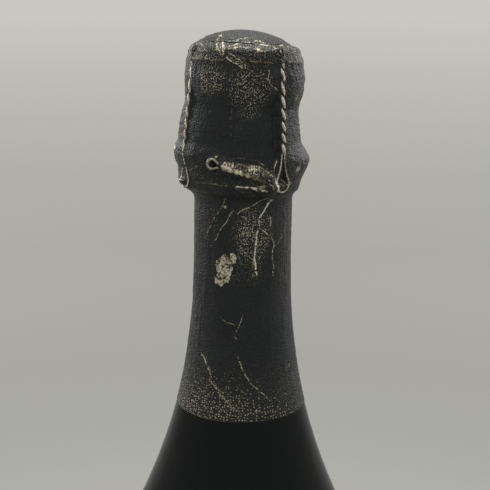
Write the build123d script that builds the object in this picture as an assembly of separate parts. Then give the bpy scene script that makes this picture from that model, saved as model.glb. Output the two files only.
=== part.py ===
from build123d import *
import math
import os

# A corked, wired and foiled bottle of sparkling wine, of the standard 75 cl size.
# Lengths are in millimetres. Z points up and the origin is the middle of the base.
# The side where the wire's loop lies folded is the front, and it faces -Y.

# Glass: body, shoulder and neck
bottle_height = 300.0
body_radius = 44.0
neck_radius = 13.55
neck_curve_drop = 42.0  # from the mouth down to where the neck begins to widen
neck_curve_radius = 188.0
shoulder_radius = 108.0
wall = 4.3
heel_radius = 7.5
bearing_inset = 9.2  # from the body's outside in to the middle of the ring it stands on
base_thickness = 6.5
punt_inset = 11.0  # from the body's outside in to the punt's edge
punt_depth = 36.0
punt_crown_radius = 13.5
punt_edge_rise = 1.4
punt_share = 0.45  # steepness of the punt's crown
punt_crown_round = 11.0
nipple_radius = 3.4
nipple_length = 2.4
nipple_slope = 0.9
inner_heel_chamfer = 2.4

# Glass: mouth
ring_radius = 17.0
ring_drop = 18.5  # from the mouth down to the underside of the ring
ring_height = 9.2
ring_round = 2.0
groove_radius = 12.9
groove_height = 1.9
bead_radius = 14.3
bead_slope = 0.9
bead_round = 1.1
bore_radius = 8.75
bore_length = 28.0
bore_taper = 7.0
lip_round = 1.5

# Wine, as a solid that fills the glass to the level seen in the neck
fill_drop = 95.0
wine_clearance = 0.2

# Cork
cork_fit = 0.05
cork_depth = 24.0
cork_seat = 0.2
cork_height = 16.2
cork_head_radius = 14.9
cork_top_radius = 14.2
cork_waist_radius = 14.3
cork_waist_rise = 1.5
cork_head_rise = 5.0
cork_round = 1.7
cork_disc_height = 5.5

# Tinplate cap on the cork
cap_clearance = 0.1
cap_thickness = 0.3
cap_radius = 14.8
cap_skirt = 3.7
cap_round = 1.6
cap_dome_radius = 9.9
cap_dome_height = 3.2
cap_dome_rise = 1.9  # the part of that height that is domed
cap_groove_radius = 10.7

# Wire frame: crown ring, four twisted legs and their eyes
wire_radius = 0.43
strand_gap = 0.06
crown_radius = 11.6
leg_angles = (38.0, 126.0, 212.0, 298.0)  # seen from above, from the front towards the right
leg_pitch = 6.5
leg_knee_clearance = 0.5
leg_slant_drop = 6.0
leg_bend = 1.3
leg_clearance = 0.27
leg_fan = 1.3  # half the width of the fork where a leg leaves the crown ring
eye_length = 8.9
eye_width = 4.6
eye_bottom_drop = 22.1  # from the mouth

# Belt wire below the ring, and its twisted loop
belt_wire_radius = 0.4
belt_drop = 20.0
belt_clearance = 0.9
belt_weave_gap = 0.08
belt_lead_share = 2.6  # how far before an eye the belt starts to rise, in half eye widths
belt_rest_shares = (0.3, 0.5, 0.7)  # where the belt lies on the neck between two eyes
belt_end_shares = (0.35, 0.6)  # the same between the last eye and the loop's root
loop_root_x = 7.6
loop_root_drop = 18.5
loop_rise = 4.9
loop_length = 17.3
loop_pitch = 3.4
loop_ring_radius = 1.45
loop_neck_length = 2.3
root_length = 1.4
hinge_gap = 0.12
root_stub_length = 2.9
root_tail_gap = 0.15

# Foil
foil_thickness = 0.25
foil_clearance = 0.3
foil_glass_gap = 0.1
foil_apex_rise = 21.6
foil_dome_radius = 26.3
foil_lap_gap = 0.05
foil_disc_radius = 12.6
foil_lap = 4.0
foil_shoulder_radius = 13.6
foil_cap_radius = 16.6
foil_cap_rise = 15.0
foil_cheek_radius = 16.9
foil_cheek_rise = 8.0
foil_waist_radius = 16.2
foil_brow_radius = 17.4
foil_brow_drop = 8.5
foil_bulge_radius = 18.7
foil_bulge_drop = 12.5
foil_skirt_radius = 17.75
foil_skirt_height = 1.6
foil_shelf_drop = 2.9  # from the tear line down to where the neck's foil turns outwards
foil_shelf_run = 0.9  # how far out it has come at the shelf's height
foil_shelf_height = 1.2
foil_pocket_depth = 0.5
loop_pocket_reach = 3.4  # from the loop's root to the pocket's right edge
foil_drop = 87.8  # from the mouth down to the cut lower edge
tear_drop = 22.8  # from the mouth down to where the hood tears off
tear_gap = 0.35
eye_pocket_radius = 4.5

# How the wires are drawn
wire_sides = 6
facet_angle = 46.0  # the most that a wire turns between two of its facets, in degrees
tiny = 1e-6  # a difference too small to matter


def revolved(edges):
    """Turn the closed outline drawn as radius against height into a solid round the Z axis."""
    face = make_face(edges)
    return revolve(Plane.XZ * face, axis=Axis.Z, revolution_arc=360)


def at_mouth(drop):
    """Height of a point that lies drop below the mouth."""
    return bottle_height - drop


def sweep_angle():
    """Angle through which the shoulder and the neck curve turn, in degrees."""
    rise = body_radius - neck_radius
    return math.degrees(math.acos(1 - rise / (neck_curve_radius + shoulder_radius)))


def shoulder_height():
    """Height of the straight body wall's upper end."""
    reach = (neck_curve_radius + shoulder_radius) * math.sin(math.radians(sweep_angle()))
    return at_mouth(neck_curve_drop) - reach


def neck_arc(inset, top):
    """Curve of the neck, moved into the glass by inset, from height top down to the shoulder."""
    radius = neck_curve_radius + inset
    start = math.degrees(math.asin((at_mouth(neck_curve_drop) - top) / radius))
    centre = (neck_radius + neck_curve_radius, at_mouth(neck_curve_drop))
    return CenterArc(centre, radius, 180 + start, sweep_angle() - start)


def shoulder_arc(inset):
    """Curve of the shoulder, moved into the glass by inset, down to the straight wall."""
    centre = (body_radius - shoulder_radius, shoulder_height())
    return CenterArc(centre, shoulder_radius - inset, sweep_angle(), -sweep_angle())


def bearing_radius():
    """Middle of the flat ring that the bottle stands on."""
    return body_radius - bearing_inset


def punt_radius():
    """Radius of the punt at the base."""
    return body_radius - punt_inset


def punt_points(inset):
    """Corners of the punt from the axis outwards, moved up into the glass by inset."""
    slope = math.atan2(punt_depth, punt_radius() - punt_crown_radius)
    out = inset * math.sin(slope)
    up = inset * math.cos(slope)
    crown_height = punt_depth - (punt_crown_radius - nipple_radius) * punt_share
    return out, up, crown_height



def cavity_edges(gap, top):
    """Outline of the space inside the glass, kept gap away from it, from the axis up to height top."""
    out, up, crown_height = punt_points(base_thickness + gap)
    inner = body_radius - wall - gap
    floor = base_thickness + gap
    run = punt_radius() - punt_crown_radius
    foot = punt_radius() + out - (floor - up) * run / crown_height
    crown = punt_depth + base_thickness + gap
    lower = Polyline(
        (0, crown),
        (nipple_radius, crown),
        (punt_crown_radius + out, crown_height + up),
        (foot, floor),
        (inner - inner_heel_chamfer, floor),
        (inner, floor + inner_heel_chamfer),
        (inner, shoulder_height()),
    )
    return [lower, shoulder_arc(wall + gap), neck_arc(wall + gap, top)]


def mouth_edges():
    """Outline of the neck, ring, bead and bore, from the neck's outside to its inside."""
    ring_low = at_mouth(ring_drop)
    ring_high = ring_low + ring_height
    groove_low = ring_high + ring_round
    bead_low = groove_low + groove_height
    inner_neck = neck_radius - wall
    return Polyline(
        (neck_radius, at_mouth(neck_curve_drop)),
        (neck_radius, ring_low - bead_slope),
        (ring_radius - ring_round, ring_low),
        (ring_radius, ring_low + ring_round),
        (ring_radius, ring_high - ring_round),
        (ring_radius - ring_round, ring_high),
        (groove_radius, groove_low),
        (groove_radius, bead_low),
        (bead_radius, bead_low + bead_slope),
        (bead_radius, bottle_height - bead_round),
        (bead_radius - bead_round, bottle_height),
        (bore_radius + lip_round, bottle_height),
        (bore_radius, bottle_height - lip_round),
        (bore_radius, at_mouth(bore_length)),
        (inner_neck, at_mouth(bore_length + bore_taper)),
        (inner_neck, at_mouth(neck_curve_drop)),
    )


def glass_bottle():
    """The bottle, from the nipple of the punt round the outside and back down the inside."""
    crown_height = punt_points(0)[2]
    base = FilletPolyline(
        (0, punt_depth - nipple_length),
        (nipple_radius, punt_depth - nipple_length),
        (nipple_radius + nipple_slope, punt_depth),
        (punt_crown_radius, crown_height),
        (punt_radius() - punt_edge_rise / 2, punt_edge_rise),
        (punt_radius() + punt_edge_rise / 2, 0),
        (bearing_radius(), 0),
        radius=(0, 0, punt_crown_round, 0, 0),
    )
    heel = FilletPolyline(
        (bearing_radius(), 0),
        (body_radius, 0),
        (body_radius, shoulder_height()),
        radius=heel_radius,
    )
    axis_low = punt_depth - nipple_length
    axis_high = punt_depth + base_thickness
    inside = cavity_edges(0, at_mouth(neck_curve_drop))
    outside = [base, heel, shoulder_arc(0), neck_arc(0, at_mouth(neck_curve_drop)), mouth_edges()]
    return revolved(outside + inside + [Line((0, axis_low), (0, axis_high))])


def wine():
    """The wine, from the floor of the glass to its level in the neck."""
    top = at_mouth(fill_drop)
    depth = at_mouth(neck_curve_drop) - top
    arc_radius = neck_curve_radius + wall + wine_clearance
    surface = neck_radius + neck_curve_radius - math.sqrt(arc_radius**2 - depth**2)
    axis_low = punt_depth + base_thickness + wine_clearance
    edges = cavity_edges(wine_clearance, top)
    edges += [Line((surface, top), (0, top)), Line((0, top), (0, axis_low))]
    return revolved(edges)


def cork_disc(index):
    """A disc of natural cork glued under the cork; index 0 is the one that meets the wine."""
    low = at_mouth(cork_depth) + index * cork_disc_height
    return standing(0, 0, low, bore_radius - cork_fit, cork_disc_height)


def cork_disc_upper():
    """The disc that is glued to the cork's body."""
    return cork_disc(1)


def cork_disc_lower():
    """The disc that meets the wine."""
    return cork_disc(0)


def cork_body():
    """The cork from its glued discs up to its mushroom head."""
    low = at_mouth(cork_depth) + 2 * cork_disc_height
    seat = bottle_height + cork_seat
    top = bottle_height + cork_height
    shank = bore_radius - cork_fit
    outline = Polyline(
        (0, low),
        (shank, low),
        (shank, seat),
        (bead_radius - bead_round, seat),
        (cork_waist_radius, seat + cork_waist_rise),
        (cork_head_radius, seat + cork_head_rise),
        (cork_head_radius, seat + 2 * cork_head_rise),
        (cork_top_radius, top - cork_round),
        (cork_top_radius - cork_round, top),
        (0, top),
    )
    return revolved([outline, Line((0, low), (0, top))])


def cap_plaque():
    """The pressed cap: a raised middle, a groove for the crown ring and a turned-down rim."""
    seat = bottle_height + cork_height + cap_clearance
    sphere = (cap_dome_radius**2 + cap_dome_rise**2) / (2 * cap_dome_rise)
    centre = seat + cap_thickness + cap_dome_height - sphere
    turn = math.degrees(math.asin(cap_dome_radius / sphere))

    def skin(inset):
        top = seat + cap_thickness - inset
        low = seat + cap_thickness - cap_skirt
        dome = CenterArc((0, centre), sphere - inset, 90, -turn)
        edge = Polyline(
            dome @ 1,
            (cap_groove_radius - inset, top),
            (cap_radius - cap_round, top),
            (cap_radius - inset, top - cap_round + inset),
            (cap_radius - inset, low),
        )
        return dome, edge

    dome, edge = skin(0)
    under_dome, under_edge = skin(cap_thickness)
    rim = Line(edge @ 1, under_edge @ 1)
    return revolved([dome, edge, rim, under_edge, under_dome, Line(under_dome @ 0, dome @ 0)])


def biarc(start, start_way, end, end_way):
    """Two arcs that leave start along start_way and reach end along end_way."""
    span = end - start
    ways = start_way + end_way
    spread = 2 * (1 - start_way.dot(end_way))
    lean = span.dot(ways)
    if spread < tiny:
        reach = span.dot(span) / (2 * lean)
    else:
        reach = (math.sqrt(lean**2 + spread * span.dot(span)) - lean) / spread
    joint = (start + end + (start_way - end_way) * reach) / 2
    first = tangent_arc(start, start_way, joint)
    return [first, tangent_arc(joint, first % 1, end)]


def tangent_arc(start, way, end):
    """The arc, or the straight run, that leaves start along way and ends at end."""
    straight = (end - start).normalized()
    if straight.cross(way).length < tiny:
        return Edge.make_line(start, end)
    return Edge.make_tangent_arc(start, way, end)


def wire_points(places):
    """Points along the arcs that join (point, direction) places, close enough for a smooth wire."""
    points = [places[0][0]]
    for (start, start_way), (end, end_way) in zip(places, places[1:]):
        for arc in biarc(start, start_way, end, end_way):
            parts = max(1, math.ceil((arc % 0).get_angle(arc % 1) / facet_angle))
            points += [arc @ ((part + 1) / parts) for part in range(parts)]
    return points


def wire_along(places, radius):
    """A faceted wire through the places: straight runs that meet on mitres, and square ends."""
    points = wire_points(places)
    runs = [(b - a).normalized() for a, b in zip(points, points[1:])]
    mitres = [(a + b).normalized() for a, b in zip(runs, runs[1:])]
    mitres = [places[0][1]] + mitres + [places[-1][1]]
    outline = Plane(origin=points[0], z_dir=runs[0]) * RegularPolygon(radius, wire_sides)
    rings = [[onto(corner.center(), runs[0], points[0], mitres[0]) for corner in outline.vertices()]]
    for run, point, mitre in zip(runs, points[1:], mitres[1:]):
        rings.append([onto(corner, run, point, mitre) for corner in rings[-1]])
    faces = [flat_face(rings[0]), flat_face(rings[-1])]
    for near, far in zip(rings, rings[1:]):
        for side in range(wire_sides):
            after = (side + 1) % wire_sides
            faces.append(flat_face([near[side], near[after], far[after], far[side]]))
    return Solid(Shell(faces))


def onto(corner, way, point, normal):
    """Where a line from corner along way meets the plane through point with that normal."""
    return corner + way * ((point - corner).dot(normal) / way.dot(normal))


def flat_face(corners):
    """A flat face with straight sides."""
    return Face(Wire.make_polygon(corners, close=True))


def turned(places, angle):
    """The places turned about the Z axis by an angle in degrees, seen from above."""
    return [(p.rotate(Axis.Z, angle), w.rotate(Axis.Z, angle)) for p, w in places]


def backwards(places):
    """The same places for a wire that runs the other way."""
    return [(p, w * -1) for p, w in reversed(places)]


def teardrop(half_gap, round_radius, length):
    """Places round a teardrop eye that hangs down from two strands, in its own x and y."""
    flare = length**2 - round_radius**2 + half_gap**2
    flare /= 2 * (round_radius - half_gap)
    turn = math.atan2(length, half_gap + flare)
    side = (half_gap + flare - flare * math.cos(turn), -flare * math.sin(turn))
    right = [
        ((half_gap, 0), (0, -1)),
        (side, (math.sin(turn), -math.cos(turn))),
        ((round_radius, -length), (0, -1)),
        ((0, -length - round_radius), (-1, 0)),
    ]
    left = [((-x, y), (u, -v)) for (x, y), (u, v) in reversed(right[:-1])]
    return right + left


def crown_height():
    """Height of the crown ring's wire above the base."""
    cap_top = bottle_height + cork_height + cap_clearance + cap_thickness
    return cap_top + wire_radius


def strand_offset():
    """Distance of each strand of a leg from the middle of the twist."""
    return wire_radius + strand_gap / 2


def leg_radius():
    """Distance of the straight foot of a leg's twist from the bottle's axis."""
    return ring_radius + leg_clearance + strand_offset() + wire_radius


def knee_radius():
    """Distance from the axis at which the leg turns down over the cap's rim."""
    return cap_radius + leg_knee_clearance + wire_radius


def leg_axis():
    """Middle line of a leg, in the XZ plane, from the crown ring down to its eye."""
    eye_top = at_mouth(eye_bottom_drop) + eye_length
    return FilletPolyline(
        (crown_radius + leg_fan, 0, crown_height()),
        (knee_radius(), 0, crown_height()),
        (knee_radius() + strand_offset() / 2, 0, crown_height() - leg_slant_drop),
        (leg_radius(), 0, at_mouth(ring_drop) + ring_height),
        (leg_radius(), 0, eye_top),
        radius=(leg_bend, leg_slant_drop, ring_height),
    )


def leg_strand(axis, side):
    """Places down one strand of a leg; side is 1 or -1. It lies flat over the cap, then twists."""
    length = axis.length
    flat = knee_radius() - crown_radius - leg_fan + leg_bend * 2
    half_turns = round((length - flat) / leg_pitch * 2)
    steps = math.ceil(half_turns * 3 / 2)
    offset = strand_offset()
    rate = math.pi * half_turns / (length - flat)
    places = []
    stations = [0, flat / 2, flat]
    for step in range(steps):
        stations.append(flat + (length - flat) * (step + 1) / steps)
    for place in stations:
        way = axis % (place / length)
        out = way.cross(Vector(0, 1, 0))
        turn = rate * max(place - flat, 0)
        speed = rate if 0 < turn < math.pi * half_turns - tiny else 0
        point = axis @ (place / length)
        point += (Vector(0, 1, 0) * math.cos(turn) - out * math.sin(turn)) * (offset * side)
        drift = (out * math.cos(turn) + Vector(0, 1, 0) * math.sin(turn)) * (offset * side * -speed)
        places.append((point, (way + drift).normalized()))
    return places, half_turns


def frame_leg(angle, before, after):
    """One leg and its share of the crown ring, between the middles of its two gaps."""
    axis = leg_axis()
    down, half_turns = leg_strand(axis, -1)
    up = backwards(leg_strand(axis, 1)[0])
    swap = 1 if half_turns % 2 else -1
    foot = axis @ 1
    round_radius = eye_width / 2 - wire_radius
    drop = teardrop(strand_offset(), round_radius, eye_length - wire_radius - round_radius)
    eye = [
        (foot + Vector(0, swap * x, y), Vector(0, swap * u, v).normalized())
        for (x, y), (u, v) in drop
    ]
    ring = []
    for turn in (-before, -before / 2, -ring_fan_angle()):
        ring.append(ring_place(turn))
    ring_back = []
    for turn in (ring_fan_angle(), after / 2, after):
        ring_back.append(ring_place(turn))
    places = ring + down + eye[1:-1] + up + ring_back
    return wire_along(turned(places, angle - 90), wire_radius)


def ring_fan_angle():
    """Angle at which the crown ring's wire begins to bend out into a leg."""
    return math.degrees(2 * leg_fan / crown_radius)


def ring_place(angle):
    """Place on the crown ring, at an angle in degrees from the leg, running anticlockwise."""
    turn = math.radians(angle)
    point = Vector(crown_radius * math.cos(turn), crown_radius * math.sin(turn), crown_height())
    return point, Vector(-math.sin(turn), math.cos(turn), 0)


def wire_frame():
    """The four legs, which together close the crown ring."""
    gaps = []
    for index, angle in enumerate(leg_angles):
        following = leg_angles[(index + 1) % len(leg_angles)]
        gaps.append((following - angle) % 360)
    legs = [
        frame_leg(angle, gaps[index - 1] / 2, gaps[index] / 2)
        for index, angle in enumerate(leg_angles)
    ]
    return legs[0].fuse(*legs[1:])


def around(angle, radius, height, slope=0):
    """Place at an angle in degrees from the front, heading anticlockwise and slope outwards."""
    turn = math.radians(angle - 90)
    out = Vector(math.cos(turn), math.sin(turn), 0)
    along = Vector(-math.sin(turn), math.cos(turn), 0)
    return out * radius + Vector(0, 0, height), (along + out * slope).normalized()


def root_centre():
    """Where the folded loop's twist leaves the belt: the vertical axis that it swings on."""
    plane = ring_radius + foil_clearance + 2 * belt_wire_radius + strand_gap / 2
    return Vector(loop_root_x, -plane, at_mouth(loop_root_drop))


def root_angle():
    """Angle of the loop's root from the front, in degrees."""
    centre = root_centre()
    return math.degrees(math.atan2(centre.X, -centre.Y))



def belt_wire():
    """The belt: out from the loop's root, through the four eyes in turn, and back to the root."""
    height = at_mouth(belt_drop)
    rest = neck_radius + belt_clearance + belt_wire_radius
    apart = wire_radius + belt_wire_radius + belt_weave_gap
    half_eye = math.degrees((eye_width / 2 - wire_radius) / leg_radius())
    root = root_centre()
    root_reach = math.hypot(root.X, root.Y)
    tail = math.degrees((2 * belt_wire_radius + root_tail_gap) / root_reach)
    places = [around(root_angle() + tail, root_reach, height)]
    for index, angle in enumerate(leg_angles):
        if index:
            places.append(around(angle - half_eye * belt_lead_share, leg_radius() - apart, height))
        places.append(around(angle - half_eye, leg_radius() + apart, height))
        places.append(around(angle + half_eye, leg_radius() - apart, height))
        following = leg_angles[(index + 1) % len(leg_angles)]
        gap = (following - angle) % 360
        if index < len(leg_angles) - 1:
            for share in belt_rest_shares:
                places.append(around(angle + gap * share, rest, height))
        else:
            back = (root_angle() - angle) % 360
            for share in belt_end_shares:
                places.append(around(angle + back * share, rest, height))
    places.append(around(root_angle() - tail, root_reach, height))
    return wire_along(places, belt_wire_radius)


def loop_way():
    """Direction of the folded loop's shank, from its root to its end."""
    rise = math.asin(loop_rise / loop_length)
    return Vector(-math.cos(rise), 0, math.sin(rise))


def loop_strand(start, end, side):
    """Places along one strand of the loop's twist, which starts and ends square to the shank."""
    way = loop_way()
    side_way = Vector(0, 0, 1).cross(way).cross(way).normalized()
    front_way = way.cross(side_way)
    offset = belt_wire_radius + strand_gap / 2
    steps = max(1, math.ceil((end - start) / loop_pitch * 3))
    places = []
    for step in range(steps + 1):
        reach = start + (end - start) * step / steps
        turn = 2 * math.pi * (reach - loop_twist_end()) / loop_pitch
        spin = 2 * math.pi * offset * side / loop_pitch
        point = root_centre() + way * reach
        point += (side_way * math.cos(turn) + front_way * math.sin(turn)) * (offset * side)
        drift = (front_way * math.cos(turn) - side_way * math.sin(turn)) * spin
        at_end = step in (0, steps)
        places.append((point, way if at_end else (way + drift).normalized()))
    return places


def loop_twist_end():
    """Distance from the root at which the twist opens into the loop's ring."""
    return loop_length - loop_neck_length


def twist_loop():
    """The part of the twist that turns when it is undone, with the ring at its end, as one wire."""
    way = loop_way()
    side_way = Vector(0, 0, 1).cross(way).cross(way).normalized()
    start = root_length + hinge_gap
    out = loop_strand(start, loop_twist_end(), 1)
    back = backwards(loop_strand(start, loop_twist_end(), -1))
    offset = belt_wire_radius + strand_gap / 2
    centre = root_centre() + way * loop_twist_end()
    ring = [
        (centre + side_way * x - way * y, (side_way * u - way * v).normalized())
        for (x, y), (u, v) in teardrop(offset, loop_ring_radius, loop_neck_length)
    ]
    return wire_along(out + ring[1:-1] + back, belt_wire_radius)


def twist_root():
    """The first bend of the twist: the wire's stub on the swing axis and the start of the shank."""
    centre = root_centre()
    low = at_mouth(belt_drop) - belt_wire_radius
    stub = Pos(centre.X, centre.Y, low) * Cylinder(
        belt_wire_radius, root_stub_length, align=(Align.CENTER, Align.CENTER, Align.MIN)
    )
    strands = [wire_along(loop_strand(0, root_length, side), belt_wire_radius) for side in (1, -1)]
    core_length = root_length - hinge_gap
    core = Plane(origin=centre, z_dir=loop_way()) * Cylinder(
        belt_wire_radius, core_length, align=(Align.CENTER, Align.CENTER, Align.MIN)
    )
    return stub.fuse(core, *strands)


def hood_edges(inset):
    """Outline of the hood's round form, moved inwards by inset, from the axis down to its edge."""
    lap = foil_lap_gap + foil_thickness
    apex = at_mouth(-foil_apex_rise) - lap - inset
    dome = foil_dome_radius - lap - inset
    turn = math.degrees(math.asin(foil_shoulder_radius / foil_dome_radius))
    crown = CenterArc((0, apex - dome), dome, 90, -turn)
    low = at_mouth(tear_drop)
    side = Polyline(
        crown @ 1,
        (foil_cap_radius - inset, at_mouth(-foil_cap_rise)),
        (foil_cheek_radius - inset, at_mouth(-foil_cheek_rise)),
        (foil_waist_radius - inset, at_mouth(0)),
        (foil_brow_radius - inset, at_mouth(foil_brow_drop)),
        (foil_bulge_radius - inset, at_mouth(foil_bulge_drop)),
        (foil_bulge_radius - inset, at_mouth(ring_drop)),
        (foil_skirt_radius - inset, low + foil_skirt_height),
        (foil_skirt_radius - inset, low),
    )
    return [crown, side, Line((foil_skirt_radius - inset, low), (0, low)), Line((0, low), (0, apex))]


def leg_fin(inset):
    """The foil's ridge over a leg, as a flat-sided fin that reaches in to the crown ring."""
    reach = strand_offset() + wire_radius + foil_clearance + foil_thickness - inset
    top = crown_height() + wire_radius + foil_clearance + foil_thickness - inset
    low = at_mouth(tear_drop)
    outline = FilletPolyline(
        (crown_radius, low),
        (crown_radius, top),
        (knee_radius() + reach, top),
        (leg_radius() + reach, at_mouth(ring_drop) + ring_height),
        (leg_radius() + reach, low),
        radius=(wire_radius, leg_bend + reach, ring_height),
    )
    face = make_face([outline, Line(outline @ 1, outline @ 0)])
    return extrude(Plane.XZ * face, amount=reach, both=True)


def eye_pocket(inset):
    """The foil's upright bulge over an eye and the belt that is woven through it."""
    low = at_mouth(tear_drop)
    height = at_mouth(eye_bottom_drop) + eye_length - low
    weave = wire_radius + 2 * belt_wire_radius + belt_weave_gap + foil_clearance + foil_thickness
    centre = leg_radius() + weave + foil_pocket_depth - eye_pocket_radius
    radius = eye_pocket_radius - inset
    return standing(centre, 0, low, radius, height) + Pos(centre, 0, low + height) * Sphere(radius)


def hood_blank(inset):
    """The hood as a filled solid, with its ridges over the legs and pockets over eyes and loop."""
    blank = revolved(hood_edges(inset)) + loop_pocket(inset)
    for angle in leg_angles:
        blank += Rot(0, 0, angle - 90) * leg_fin(inset)
        blank += Rot(0, 0, angle - 90) * eye_pocket(inset)
    return blank


def standing(x, y, low, radius, height):
    """An upright cylinder that stands at a height."""
    bottom = (Align.CENTER, Align.CENTER, Align.MIN)
    return Pos(x, y, low) * Cylinder(radius, height, align=bottom)


def loop_pocket(inset):
    """Blister over the folded loop, open below so that the hood lifts off over it."""
    root = root_centre()
    tip = root + loop_way() * loop_length
    half = loop_ring_radius + belt_wire_radius + foil_clearance + foil_thickness - inset
    front = 2 * belt_wire_radius + strand_gap / 2 + foil_clearance + foil_thickness - inset
    low = at_mouth(tear_drop)
    corners = [
        (root.X + loop_pocket_reach - inset, low),
        (root.X + loop_pocket_reach - inset, root.Z + half),
        (tip.X, tip.Z + half),
        (tip.X - half, tip.Z + half),
        (tip.X - half, low),
    ]
    face = make_face(Polyline(*corners, close=True))
    return extrude(Plane.XZ * face, amount=front - root.Y)


def foil_hood():
    """The part of the foil above the tear line, with the hole that the top disc closes."""
    hole = standing(0, 0, at_mouth(0), foil_disc_radius - foil_lap, foil_apex_rise)
    return hood_blank(0) - hood_blank(foil_thickness) - hole


def foil_top_disc():
    """The round piece of foil that closes the hood's top."""
    turn = math.degrees(math.asin(foil_disc_radius / foil_dome_radius))
    centre = (0, at_mouth(-foil_apex_rise) - foil_dome_radius)
    outside = CenterArc(centre, foil_dome_radius, 90, -turn)
    inside = CenterArc(centre, foil_dome_radius - foil_thickness, 90, -turn)
    return revolved([outside, Line(outside @ 1, inside @ 1), inside, Line(inside @ 0, outside @ 0)])


def foil_neck():
    """The part of the foil that stays: up the neck, and out below the ring to the tear line."""
    high = at_mouth(tear_drop) - tear_gap

    def skin(out):
        curve = CenterArc(
            (neck_radius + neck_curve_radius, at_mouth(neck_curve_drop)),
            neck_curve_radius - foil_glass_gap - out,
            180,
            neck_foil_angle(out),
        )
        side = neck_radius + foil_glass_gap + out
        shelf = Polyline(
            curve @ 0,
            (side, high - foil_shelf_drop - out),
            (side + foil_shelf_run, high - foil_shelf_height - out),
            (foil_skirt_radius - foil_thickness, high - out),
        )
        return curve, shelf

    curve, shelf = skin(foil_thickness)
    inner_curve, inner_shelf = skin(0)
    tear = Line(shelf @ 1, inner_shelf @ 1)
    cut = Line(inner_curve @ 1, curve @ 1)
    return revolved([curve, shelf, tear, inner_shelf, inner_curve, cut])


def neck_foil_angle(out):
    """Angle of the neck's curve from its top down to the foil's cut edge."""
    reach = foil_drop - neck_curve_drop
    return math.degrees(math.asin(reach / (neck_curve_radius - foil_glass_gap - out)))


nodes = {
    "glass_bottle": glass_bottle,
    "wine": wine,
    "cork_body": cork_body,
    "cork_disc_upper": cork_disc_upper,
    "cork_disc_lower": cork_disc_lower,
    "cap_plaque": cap_plaque,
    "wire_frame": wire_frame,
    "belt_wire": belt_wire,
    "twist_root": twist_root,
    "twist_loop": twist_loop,
    "foil_hood": foil_hood,
    "foil_top_disc": foil_top_disc,
    "foil_neck": foil_neck,
}

os.makedirs("parts", exist_ok=True)
for name, make in nodes.items():
    export_step(make(), f"parts/{name}.step")
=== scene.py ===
import math

import bmesh
import bpy
import numpy as np
from mathutils import Matrix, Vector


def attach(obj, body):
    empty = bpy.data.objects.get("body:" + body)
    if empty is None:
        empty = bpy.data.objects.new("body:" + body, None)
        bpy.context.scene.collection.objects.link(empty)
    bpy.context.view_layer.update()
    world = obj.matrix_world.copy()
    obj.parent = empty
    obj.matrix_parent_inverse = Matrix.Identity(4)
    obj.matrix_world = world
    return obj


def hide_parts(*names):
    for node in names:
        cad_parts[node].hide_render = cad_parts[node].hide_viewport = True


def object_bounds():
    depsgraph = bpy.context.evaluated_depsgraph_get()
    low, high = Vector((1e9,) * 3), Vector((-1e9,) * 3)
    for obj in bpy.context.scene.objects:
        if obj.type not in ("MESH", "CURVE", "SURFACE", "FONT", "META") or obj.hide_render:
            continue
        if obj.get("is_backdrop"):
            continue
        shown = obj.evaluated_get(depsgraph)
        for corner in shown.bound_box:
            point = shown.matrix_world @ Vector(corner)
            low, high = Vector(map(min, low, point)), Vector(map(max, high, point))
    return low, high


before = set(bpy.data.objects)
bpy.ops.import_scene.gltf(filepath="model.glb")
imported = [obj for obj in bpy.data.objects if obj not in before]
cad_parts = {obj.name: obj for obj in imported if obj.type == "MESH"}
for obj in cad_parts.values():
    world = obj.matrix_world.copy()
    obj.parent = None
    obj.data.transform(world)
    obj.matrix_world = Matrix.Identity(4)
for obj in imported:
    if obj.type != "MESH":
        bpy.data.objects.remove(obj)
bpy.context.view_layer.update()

# The camera stands 0.29 m in front of the neck and looks a little down on it, as a phone held
# close does. It leans less than a degree, so the bottle's top leans right in the picture.
mm = 0.001
picture_width = 490.0
focal_pixels = 1000.0
camera_distance = 285.3 * mm
camera_height = 325.7 * mm
camera_pitch = 13.0
camera_roll = 0.75
axis_left_of_centre = 2.5  # pixels

camera_data = bpy.data.cameras.new("camera")
camera_data.sensor_width = 36.0
camera_data.lens = camera_data.sensor_width * focal_pixels / picture_width
camera_data.clip_start = 0.01
camera_data.clip_end = 400.0
camera = bpy.data.objects.new("camera", camera_data)
bpy.context.scene.collection.objects.link(camera)
camera.matrix_world = (
    Matrix.Translation((0, -camera_distance, camera_height))
    @ Matrix.Rotation(-math.atan(axis_left_of_centre / focal_pixels), 4, "Z")
    @ Matrix.Rotation(math.radians(90 - camera_pitch), 4, "X")
    @ Matrix.Rotation(math.radians(camera_roll), 4, "Z")
)
bpy.context.scene.camera = camera
bpy.context.scene.view_settings.view_transform = "Standard"


# The setting: a wide pale floor that fills the picture behind the bottle, in a pale, even room.
# Its grey is lightest far away, where it nears the room's own, and darkest 0.6 m behind the bottle.
def linear(code):
    """sRGB hex colour as linear red, green, blue and alpha."""
    parts = [int(code[i : i + 2], 16) / 255 for i in (1, 3, 5)]
    return [c / 12.92 if c <= 0.04045 else ((c + 0.055) / 1.055) ** 2.4 for c in parts] + [1.0]


def give(node, settings):
    """Gives a node its settings and inputs, each by name or number. A socket is linked."""
    for name, value in settings.items():
        if isinstance(name, str) and name not in node.inputs:
            setattr(node, name, value)
        elif isinstance(value, bpy.types.NodeSocket):
            node.id_data.links.new(value, node.inputs[name])
        else:
            node.inputs[name].default_value = value
    return node


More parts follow.
